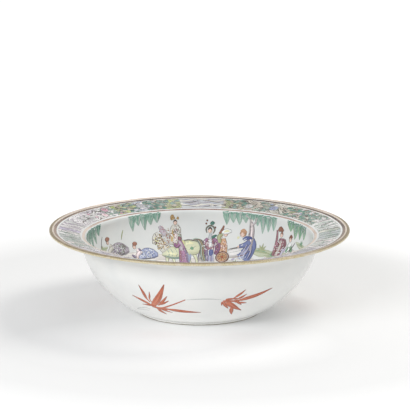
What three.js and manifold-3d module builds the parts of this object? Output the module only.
// A wide-rimmed porcelain basin of the Canton famille rose kind: a thrown and fired body on a turned foot ring,
// with a gilded lip, iron-red lines and raised enamel painting. Millimetres, +Z up; the origin is the centre of the
// circle that the foot stands on. The photographed side, the front, faces -Y.
import * as THREE from "three";
import Module from "manifold-3d";
import { mergeVertices } from "three/addons/utils/BufferGeometryUtils.js";

const wasm = await Module();
wasm.setup();

// Driving dimensions of the ceramic
const rimDiameter = 370;
const overallHeight = 105;
const rimWidth = 44;
const flangeRise = 10.4;
const flangeThickness = 4.6;
const lipThickness = 3.6;
const wallThickness = 5;
const wallSetback = 1.6;
// The share of the wall, from the foot up, over which it thins from the floor's thickness to its own
const wallThinsOver = 0.35;
const floorThickness = 5.5;
const footDiameter = 152;
const footHeight = 3.5;
const footRingWidth = 6;
const footRingSeat = 0.3;
const footEase = 0.8;
const underFlangeFillet = 5.5;
// How the outer wall swells: how far each control point of its curve stands off the foot's edge or the mouth
const footSpread = 22;
const footLift = 3;
const bellySpread = 7;
const bellyHeight = 53;

// Driving dimensions of the gold, the red lines and the enamels
const enamelThickness = 0.5;
const enamelGap = 0.3;
const bambooGap = 0.45;
const giltWidth = 3.2;
const redLineWidth = 2.4;
const lipLineInset = 7;
const borderMargin = 3;
const willowTop = 4.5;
const medallionMargin = 17;
const medallionBorder = 8;
const borderSprays = 12;
const bambooSprays = 3;
// The first bamboo branch is at the front; angles are in degrees, anticlockwise from +X seen from above
const frontAngle = -90;

// The painting is drawn for these sizes of the basin, and stretched to fit any other
const drawnMouthRadius = 141;
const drawnWellRun = 117;
const drawnOuterRun = 113;
const drawnMedallion = 100;

// How finely the round forms are cut
const roundSteps = 60;
const wallSteps = 10;
const noseSteps = 3;
const bendSteps = 3;
// How far an edge of an enamel may stray from a curved wall: less outside, where the wall bulges towards it
const strayOutside = 0.28;
const strayInWell = 0.4;

const colours = {
  glaze: 0xe6e8e4,
  biscuit: 0xcbb89c,
  gold: 0xc2a66a,
  ironRed: 0xb5573f,
  willow: 0x6fae97,
  leaf: 0x8fb07a,
  rose: 0xb7749a,
  purple: 0x8c7fa6,
  blue: 0x5a68b4,
  yellow: 0xdcd49a,
  brown: 0xa5694a,
};

// Points of a profile: x is the radius, y the height
const point = (x, y) => new THREE.Vector2(x, y);
const step = (from, along, distance) => from.clone().addScaledVector(along, distance);
const leftOf = (along) => point(-along.y, along.x);

const lipRadius = rimDiameter / 2;
const mouthRadius = lipRadius - rimWidth;
const footRadius = footDiameter / 2;
const mouthHeight = overallHeight - flangeRise;
const floorHeight = footHeight + floorThickness;
const enamelTop = enamelGap + enamelThickness;

// The flange rises straight from the mouth to the lip, and thins towards it
const noseRadius = lipThickness / 2;
const noseCentre = point(lipRadius - noseRadius, overallHeight - noseRadius);
const mouthEdge = point(mouthRadius, mouthHeight);
const flangeSlope = Math.atan2(flangeRise, noseCentre.x - mouthRadius);
const flangeAlong = point(Math.cos(flangeSlope), Math.sin(flangeSlope));
const lipTop = step(noseCentre, leftOf(flangeAlong), noseRadius);
function flangeUnder(radius) {
  const share = (radius - mouthRadius) / (lipTop.x - mouthRadius);
  const top = mouthEdge.clone().lerp(lipTop, share);
  return step(top, point(0, -1), THREE.MathUtils.lerp(flangeThickness, lipThickness, share));
}

// The outer wall swells from the foot to the corner under the flange
const wallCorner = point(mouthRadius - wallSetback + wallThickness, mouthHeight - flangeThickness);
const outerCurve = new THREE.CubicBezierCurve(
  point(footRadius, footHeight),
  point(footRadius + footSpread, footHeight + footLift),
  point(mouthRadius + bellySpread, bellyHeight),
  wallCorner,
);

// The wall is as thick as the floor at the foot, and thins to its own thickness on the way up
function innerPoint(t) {
  const thinned = THREE.MathUtils.smoothstep(t, 0, wallThinsOver);
  const thickness = THREE.MathUtils.lerp(floorThickness, wallThickness, thinned);
  return step(outerCurve.getPoint(t), leftOf(outerCurve.getTangent(t)), thickness);
}
const wallShares = Array.from({ length: wallSteps + 1 }, (_, i) => i / wallSteps);
const innerWall = wallShares.map(innerPoint);
innerWall[0].y = floorHeight;
const wallTop = innerWall[wallSteps];

// The bend from the flange down into the well, and the fillet under the flange
const bendCorner = step(mouthEdge, flangeAlong, (wallTop.x - mouthRadius) / flangeAlong.x);
const mouthBend = new THREE.QuadraticBezierCurve(mouthEdge, bendCorner, wallTop).getPoints(bendSteps);
const filletStart = 1 - underFlangeFillet / (wallCorner.y - footHeight);
const filletEnd = flangeUnder(wallCorner.x + underFlangeFillet);
const underFillet = new THREE.QuadraticBezierCurve(outerCurve.getPoint(filletStart), wallCorner, filletEnd);
const outerWall = wallShares.map((share) => outerCurve.getPoint(share * filletStart));

// An arc round the nose of the lip, from the underside of the flange to its top
const noseArc = (radius) =>
  Array.from({ length: noseSteps + 1 }, (_, i) => {
    const turn = flangeSlope + Math.PI * (i / noseSteps - 0.5);
    return point(noseCentre.x + radius * Math.cos(turn), noseCentre.y + radius * Math.sin(turn));
  });

// Revolves a profile about +Z. Its points run so that the material is on their left.
function turned(profile) {
  return new THREE.LatheGeometry(profile, roundSteps).rotateX(Math.PI / 2);
}

function bodyProfile() {
  return [
    point(0, footHeight),
    ...outerWall,
    ...underFillet.getPoints(bendSteps).slice(1),
    ...noseArc(noseRadius),
    ...mouthBend,
    ...innerWall.slice(0, -1).reverse(),
    point(0, floorHeight),
  ];
}

// The foot ring's section: a plain band whose edges are eased where it stands
function footRingProfile() {
  const top = footHeight - footRingSeat;
  const inner = footRadius - footRingWidth;
  return [
    point(inner, top),
    point(inner, footEase),
    point(inner + footEase, 0),
    point(footRadius - footEase, 0),
    point(footRadius, footEase),
    point(footRadius, top),
    point(inner, top),
  ];
}

// The gold wraps the nose of the lip and ends on the flange's top and underside
function giltProfile() {
  const run = giltWidth - noseRadius;
  const wrap = (radius) => {
    const arc = noseArc(radius);
    return [step(arc[0], flangeAlong, -run), ...arc, step(arc[noseSteps], flangeAlong, -run)];
  };
  const outside = wrap(noseRadius + enamelTop);
  return [...outside, ...wrap(noseRadius + enamelGap).reverse(), outside[0]];
}

// A skin is a stretch of the profile that is painted on: its points from low to high, the side that is free (1
// for left of travel, -1 for right), the gap that an enamel keeps to it and how far the enamel's edges may stray
// from it, and the running length at each point.
function skinOf(points, side, gap, stray) {
  const lengths = [0];
  points.slice(1).forEach((p, i) => lengths.push(lengths[i] + p.distanceTo(points[i])));
  return { points, side, gap, stray, lengths, run: lengths[points.length - 1] };
}
const wellSkin = skinOf([...innerWall, ...mouthBend.slice(0, -1).reverse()], 1, enamelGap, strayInWell);
const flangeSkin = skinOf([mouthEdge, lipTop], 1, enamelGap, strayInWell);
const outerSkin = skinOf(outerWall, -1, bambooGap, strayOutside);

// Where a skin is at a running length, and a height above it
function onSkin(skin, along, above) {
  const { points, lengths, side } = skin;
  const passed = lengths.findIndex((length) => length > along);
  const i = passed < 0 ? points.length - 2 : Math.max(0, passed - 1);
  const direction = points[i + 1].clone().sub(points[i]).normalize();
  return step(step(points[i], direction, along - lengths[i]), leftOf(direction), side * above);
}

// A ring of enamel lying on the flange
function flangeLine(along) {
  const [low, high] = [along - redLineWidth / 2, along + redLineWidth / 2];
  const corners = [[low, enamelGap], [high, enamelGap], [high, enamelTop], [low, enamelTop], [low, enamelGap]];
  return turned(corners.map(([length, above]) => onSkin(flangeSkin, length, above)));
}

// Flat outlines, drawn as the painter sees them: x to the right, y up. Each is a closed list of points.
// A pointed leaf or brush stroke from a base point, of a length and a width, in a direction in degrees
function leaf(x, y, length, width, degrees) {
  const turn = THREE.MathUtils.degToRad(degrees);
  const corners = [[0, 0], [0.3, -0.48], [0.66, -0.37], [1, 0], [0.66, 0.37], [0.3, 0.48]];
  return corners.map(([along, across]) =>
    point(along * length, across * width).rotateAround(point(0, 0), turn).add(point(x, y)),
  );
}

// A narrow leaf like a bamboo's, from a base point
function blade(x, y, length, width, degrees) {
  const turn = THREE.MathUtils.degToRad(degrees);
  const corners = [[0, -0.12], [0.36, -0.5], [1, 0], [0.36, 0.5], [0, 0.12]];
  return corners.map(([along, across]) =>
    point(along * length, across * width).rotateAround(point(0, 0), turn).add(point(x, y)),
  );
}

// An oval or, with lobes, a flower's scalloped outline
function oval(x, y, wide, tall, lobes = 0) {
  const steps = lobes ? lobes * 2 : 8;
  return Array.from({ length: steps }, (_, i) => {
    const turn = (i / steps) * Math.PI * 2;
    const swell = 1 + (lobes ? 0.14 * Math.cos(lobes * turn) : 0);
    return point(x + (wide / 2) * swell * Math.cos(turn), y + (tall / 2) * swell * Math.sin(turn));
  });
}

// A line through points, with a width at its start and one at its end
function stroke(places, startWidth, endWidth = startWidth) {
  const spine = places.map(([x, y]) => point(x, y));
  const last = spine.length - 1;
  const sideways = spine.map((_, i) => {
    const [before, after] = [spine[Math.max(0, i - 1)], spine[Math.min(last, i + 1)]];
    return leftOf(after.clone().sub(before).normalize());
  });
  const edge = (side) =>
    spine.map((p, i) => step(p, sideways[i], (side * THREE.MathUtils.lerp(startWidth, endWidth, i / last)) / 2));
  return [...edge(-1), ...edge(1).reverse()];
}

// A closed outline that runs smoothly through its points
function smooth(places, steps) {
  const closed = new THREE.CatmullRomCurve3(places.map(([x, y]) => new THREE.Vector3(x, y, 0)), true);
  return closed.getPoints(steps).slice(0, -1).map((p) => point(p.x, p.y));
}

// A standing person in a long robe, with a wide sleeve on the side they face (1 right, -1 left)
function standing(tall, wide, facing) {
  const robe = [
    [-0.5, 0], [0, -0.02], [0.5, 0], [0.36, 0.4], [0.31, 0.72], [0, 0.82], [-0.31, 0.72], [-0.36, 0.4],
  ].map(([x, y]) => [x * wide, y * tall]);
  return [
    smooth(robe, 12),
    oval(0, 0.87 * tall, 0.15 * tall, 0.18 * tall),
    oval(0, 0.96 * tall, 0.17 * tall, 0.09 * tall),
    leaf(-0.2 * wide * facing, 0.62 * tall, 0.9 * wide, 0.16 * tall, facing > 0 ? -22 : 202),
  ];
}

// A kneeling or stooping person: a rounded back, and a head and neck that reach out on the side they face
function kneeling(tall, wide, facing, reach = 0.36, rise = 0.74) {
  const back = [
    [0.5, 0], [-0.5, 0], [-0.5, 0.4], [-0.25, 0.72], [0.1, 0.78], [0.42, 0.5],
  ].map(([x, y]) => [x * wide * facing, y * tall]);
  const [headX, headY] = [reach * wide * facing, rise * tall];
  return [
    smooth(back, 11),
    stroke([[0.24 * wide * facing, 0.4 * tall], [headX, headY]], 0.3 * tall, 0.16 * tall),
    oval(headX, headY, 0.3 * tall, 0.34 * tall),
    oval(headX, headY + 0.18 * tall, 0.32 * tall, 0.18 * tall),
  ];
}

// A horse standing with its head to the left
function horse(long, tall) {
  const trunk = [
    [-0.35, 0.42], [0.05, 0.36], [0.42, 0.42], [0.5, 0.7], [0.37, 0.8], [0, 0.72], [-0.25, 0.8], [-0.43, 0.66],
  ].map(([x, y]) => [x * long, y * tall]);
  const legs = [[-0.3, -0.34], [-0.2, -0.15], [0.3, 0.27], [0.42, 0.46]];
  return [
    smooth(trunk, 16),
    leaf(-0.27 * long, 0.55 * tall, 0.62 * tall, 0.3 * tall, 134),
    leaf(-0.36 * long, 0.98 * tall, 0.42 * tall, 0.22 * tall, 214),
    ...legs.map(([hip, hoof]) => stroke([[hip * long, 0.5 * tall], [hoof * long, 0]], 0.09 * long, 0.05 * long)),
  ];
}

// A willow's hanging crown: fronds of about one width side by side, longer and shorter by turns
function willowCrown(wide, drop, frondWidth) {
  const fronds = Math.round(wide / frondWidth);
  const pitch = wide / fronds;
  const reach = (i) => drop * (0.66 + 0.34 * Math.abs(Math.sin(1.9 * i + wide)));
  const frond = (i) => {
    const left = i * pitch - wide / 2;
    return [[0, 0.5 * drop], [0.25, 0.8 * reach(i)], [0.5, reach(i)], [0.8, 0.75 * reach(i)]].map(
      ([across, down]) => point(left + across * pitch, -down),
    );
  };
  const hanging = Array.from({ length: fronds }, (_, i) => frond(i)).flat();
  return [[point(-wide / 2, 0), ...hanging, point(wide / 2, -0.5 * drop), point(wide / 2, 0)]];
}

// A willow's trunk, which leans, and forks under its crown
function willowTrunk(fall, lean) {
  const fork = [0.35 * lean, -0.45 * fall];
  return [
    stroke([[0, -2], fork, [lean, -fall]], 2.4, 5),
    stroke([[0.3 * fall, -0.12 * fall], fork], 1.6, 2.6),
  ];
}

// One spray of the rim's border: a branch with a flower or a fruit in the middle, and leaves to either side
function borderSpray(wide, tall, fruit) {
  const stem = stroke([[-0.42 * wide, 0], [0.42 * wide, 0]], 1.6);
  const leaves = [-1, 1].flatMap((side) => {
    const towards = (degrees) => (side > 0 ? degrees : 180 - degrees);
    return [
      leaf(side * 0.06 * wide, 0, 0.3 * wide, 0.36 * tall, towards(28)),
      leaf(side * 0.06 * wide, 0, 0.3 * wide, 0.32 * tall, towards(-30)),
      leaf(side * 0.27 * wide, 0, 0.19 * wide, 0.28 * tall, towards(side * 42)),
    ];
  });
  const heart = fruit ? oval(0, 0, 0.66 * tall, 0.6 * tall) : oval(0, 0, 0.76 * tall, 0.76 * tall, 6);
  return [stem, ...leaves, heart];
}

// A bamboo branch: two tufts of leaves on one thin stem. Each leaf is its base point, length, width and direction.
const bambooLeaves = [
  [-58.5, 54, 33, 3.6, 149], [-60, 55.5, 33, 3.4, 109], [-58, 54, 43, 9.4, 67], [-56, 51.5, 27, 4.4, 50],
  [-57, 52.5, 19, 3, 178], [-54.6, 50, 42, 4, 28], [-53.5, 49, 55, 5.4, -6], [-54, 48.6, 22, 4.4, -46],
  [-55.4, 50.7, 28, 3, 204],
  [27.6, 65.4, 35, 3.2, 39], [28.4, 64.8, 67, 5, 15], [27, 65, 36, 6.8, -46], [25.6, 65.6, 33, 4.2, -74],
  [29, 64.2, 33, 3.4, -16],
];
const bambooTwig = [[-61, 57], [-53, 48]];
const bambooStem = [[-55, 50], [-18, 67], [12, 71], [30, 64]];
const bambooBranch = [
  stroke(bambooTwig, 3),
  stroke(bambooStem, 1.8),
  ...bambooLeaves.map((one) => blade(...one)),
];

// A peony: petals round a heart, with leaves behind and a stalk
function peony(wide) {
  const leaves = [[-150, 0.5], [-115, 0.42], [-60, 0.46], [-25, 0.5], [35, 0.4], [150, 0.42]];
  return [
    oval(0, 0.06 * wide, 0.4 * wide, 0.4 * wide, 8),
    ...leaves.map(([degrees, reach]) => leaf(0, 0.04 * wide, reach * wide, 0.13 * wide, degrees)),
    stroke([[0, 0], [0.1 * wide, -0.45 * wide]], 2.4),
  ];
}

const moved = (outlines, x, y) => outlines.map((outline) => outline.map((p) => p.clone().add(point(x, y))));
const stretched = (outlines, x, y) => outlines.map((outline) => outline.map((p) => point(p.x * x, p.y * y)));

// Turns a geometry into a manifold-3d solid
function solidOf(geometry) {
  const bare = geometry.clone();
  bare.deleteAttribute("normal");
  bare.deleteAttribute("uv");
  const merged = mergeVertices(bare);
  const vertProperties = merged.attributes.position.array;
  return new wasm.Manifold(new wasm.Mesh({ numProp: 3, vertProperties, triVerts: merged.index.array }));
}

// Joins flat outlines into one slab of enamel: its points, and its faces as threes of point numbers
function slabOf(outlines) {
  const depth = { depth: enamelThickness, bevelEnabled: false };
  const slabs = outlines.map((outline) => solidOf(new THREE.ExtrudeGeometry(new THREE.Shape(outline), depth)));
  const { vertProperties, triVerts, numProp } = slabs.reduce((all, one) => all.add(one)).getMesh();
  const count = vertProperties.length / numProp;
  const points = Array.from({ length: count }, (_, i) => new THREE.Vector3().fromArray(vertProperties, i * numProp));
  const faces = Array.from({ length: triVerts.length / 3 }, (_, i) => Array.from(triVerts.slice(3 * i, 3 * i + 3)));
  return { points, faces };
}

// Halves every edge of a flat slab that would stray from the skin once wrapped on it, and keeps the slab closed
function refine({ points, faces }, wrap, stray) {
  const middles = new Map();
  const halved = ([a, b]) => {
    const flat = points[a].clone().lerp(points[b], 0.5);
    const wrapped = wrap(flat);
    const chord = wrap(points[a]).lerp(wrap(points[b]), 0.5);
    const outwards = wrap(flat.clone().setZ(flat.z + 1)).sub(wrapped).normalize();
    return Math.abs(wrapped.sub(chord).dot(outwards)) > stray ? points.push(flat) - 1 : null;
  };
  const middle = (edge) => {
    const key = [...edge].sort().join();
    if (!middles.has(key)) middles.set(key, halved(edge));
    return middles.get(key);
  };
  const finer = faces.flatMap(([a, b, c]) => {
    const turns = [[a, b, c], [b, c, a], [c, a, b]];
    const cuts = turns.map(([from, to]) => middle([from, to]));
    const count = cuts.filter((cut) => cut !== null).length;
    if (count === 0) return [[a, b, c]];
    if (count === 3) {
      const [ab, bc, ca] = cuts;
      return [[a, ab, ca], [ab, b, bc], [ca, bc, c], [ab, bc, ca]];
    }
    // Turned so that the first edge is cut and, of two, the second one too
    const first = cuts.findIndex((cut, i) => cut !== null && (count === 1 || cuts[(i + 1) % 3] !== null));
    const [p, q, r] = turns[first];
    const [pq, qr] = [cuts[first], cuts[(first + 1) % 3]];
    return count === 1 ? [[p, pq, r], [pq, q, r]] : [[pq, q, qr], [p, pq, qr], [p, qr, r]];
  });
  return finer.length === faces.length ? { points, faces } : refine({ points, faces: finer }, wrap, stray);
}

function geometryOf({ points, faces }) {
  const geometry = new THREE.BufferGeometry().setFromPoints(points).setIndex(faces.flat());
  geometry.computeVertexNormals();
  return geometry;
}

// Lays a flat drawing on a skin: its x runs round the basin from an angle, its y up the skin from a running length
function painted(outlines, skin, angle, along) {
  const wrap = ({ x, y, z }) => {
    const at = onSkin(skin, along + y, skin.gap + z);
    const turn = THREE.MathUtils.degToRad(angle) - (skin.side * x) / onSkin(skin, along + y, 0).x;
    return new THREE.Vector3(at.x * Math.cos(turn), at.x * Math.sin(turn), at.y);
  };
  const { points, faces } = refine(slabOf(outlines), wrap, skin.stray);
  return geometryOf({ points: points.map(wrap), faces });
}

// Lays a drawing in the well. Its y is 0 at the mouth.
function paintedInWell(outlines, angle, drop) {
  const up = wellSkin.run / drawnWellRun;
  const around = mouthRadius / drawnMouthRadius;
  return painted(stretched(outlines, around, up), wellSkin, angle, wellSkin.run - drop * up);
}

const basin = new THREE.Group();
function add(name, geometry, color, roughness = 0.15, metalness = 0) {
  const mesh = new THREE.Mesh(geometry, new THREE.MeshStandardMaterial({ color, roughness, metalness }));
  mesh.name = name;
  basin.add(mesh);
}

// The ceramic
add("porcelain_body", turned(bodyProfile()), colours.glaze, 0.12);
add("foot_ring", turned(footRingProfile()), colours.biscuit, 0.85);

// The gold, and the iron-red lines at the lip and the mouth
const lipLine = flangeSkin.run + noseRadius - lipLineInset;
const mouthLine = redLineWidth;
add("gilt_lip", turned(giltProfile()), colours.gold, 0.3, 1);
add("lip_line", flangeLine(lipLine), colours.ironRed);
add("mouth_line", flangeLine(mouthLine), colours.ironRed);

// The border between the two lines
const borderTall = lipLine - mouthLine - 2 * borderMargin;
const borderMiddle = (lipLine + mouthLine) / 2;
const borderTurn = 360 / borderSprays;
const borderWide = THREE.MathUtils.degToRad(borderTurn) * (mouthRadius + mouthLine);
for (let i = 0; i < borderSprays; i++) {
  const outlines = borderSpray(borderWide, borderTall, i % 2 === 1);
  const spray = painted(outlines, flangeSkin, borderTurn * (i + 0.5), borderMiddle);
  add("border_spray_" + (i + 1), spray, i % 2 ? colours.leaf : colours.rose);
}

// The willows that hang from the mouth: the middle angle, the width and the drop of each crown, the width of its
// fronds, and its trunk
const willows = [
  [164, 46, 22, 11.5], [121, 46, 22, 11.5], [61, 78, 22, 7, 46, 14], [26.5, 46, 19, 11.5],
  [-20, 50, 22, 11.5], [-62, 60, 24, 7, 48, 5], [-104, 44, 20, 11.5], [-152, 62, 24, 7, 46, -4],
];
willows.forEach(([angle, wide, drop, frondWidth, fall, lean], i) => {
  const outlines = [...willowCrown(wide, drop, frondWidth), ...(fall ? willowTrunk(fall, lean) : [])];
  add("willow_" + (i + 1), paintedInWell(outlines, angle, willowTop), colours.willow);
});

// The people and animals under them: the angle, the drop from the mouth to the ground, the drawing and its colour
const horseParty = [
  ...horse(50, 32),
  ...moved(standing(33, 13, -1), -4, 20),
  ...moved(standing(42, 13, -1), 3, -3),
];
const barrow = [
  oval(0, 8, 17, 17),
  stroke([[-2, 8], [10, 13]], 5),
  ...moved(standing(30, 13, 1), 1, 11),
];
const people = [
  ["farmer_in_purple", 143, 49, kneeling(25, 35, -1, 0.58, 1), colours.purple],
  ["farmer_in_blue", 125, 59, kneeling(21, 26, -1, 0.5, 1), colours.blue],
  ["horse_rider_and_groom", 104, 69, horseParty, colours.yellow],
  ["court_lady", 84, 70, standing(52, 17, 1), colours.rose],
  ["wheelbarrow_and_boy", 73.5, 69, barrow, colours.brown],
  ["man_in_blue", 62.5, 65, standing(34, 15, -1), colours.blue],
  ["woman_in_red", 40, 49, standing(27, 15, -1), colours.rose],
  ["boy_with_a_stick", 29, 42, kneeling(17, 15, -1), colours.brown],
  ["scholar_in_green", 5, 59, standing(40, 16, 1), colours.leaf],
  ["servant_in_yellow", -12, 54, kneeling(22, 22, 1), colours.yellow],
  ["lady_with_a_fan", -34, 64, standing(44, 18, -1), colours.rose],
  ["elder_in_blue", -50, 61, standing(29, 16, -1), colours.blue],
  ["boy_in_red", -78, 52, kneeling(20, 19, 1), colours.ironRed],
  ["musician_in_purple", -92, 61, standing(32, 16, 1), colours.purple],
  ["lady_in_pink", -122, 64, standing(44, 18, 1), colours.rose],
  ["gardener_in_blue", -138, 54, kneeling(22, 24, -1), colours.blue],
  ["old_man_with_a_staff", -168, 59, standing(27, 15, 1), colours.brown],
];
people.forEach(([name, angle, drop, outlines, colour]) => {
  add(name, paintedInWell(outlines, angle, drop), colour);
});

// The medallion on the floor of the well: a peony inside an iron-red circle
const medallionRadius = innerWall[0].x - medallionMargin;
const circleInside = medallionRadius - redLineWidth;
const [circleLow, circleHigh] = [floorHeight + enamelGap, floorHeight + enamelTop];
const medallionCircle = [
  [circleInside, circleLow], [medallionRadius, circleLow], [medallionRadius, circleHigh],
  [circleInside, circleHigh], [circleInside, circleLow],
];
add("medallion_circle", turned(medallionCircle.map(([radius, height]) => point(radius, height))), colours.ironRed);
const peonyWide = 2 * (circleInside - medallionBorder);
const flower = slabOf(stretched(peony(drawnMedallion), peonyWide / drawnMedallion, peonyWide / drawnMedallion));
add("floor_peony", geometryOf(flower).translate(0, 0, circleLow), colours.rose);

// The iron-red bamboo outside, drawn up from the foot, the first branch at the front
const outside = stretched(bambooBranch, mouthRadius / drawnMouthRadius, outerSkin.run / drawnOuterRun);
for (let i = 0; i < bambooSprays; i++) {
  const spray = painted(outside, outerSkin, frontAngle + (360 / bambooSprays) * i, 0);
  add("bamboo_spray_" + (i + 1), spray, colours.ironRed);
}

export default basin;
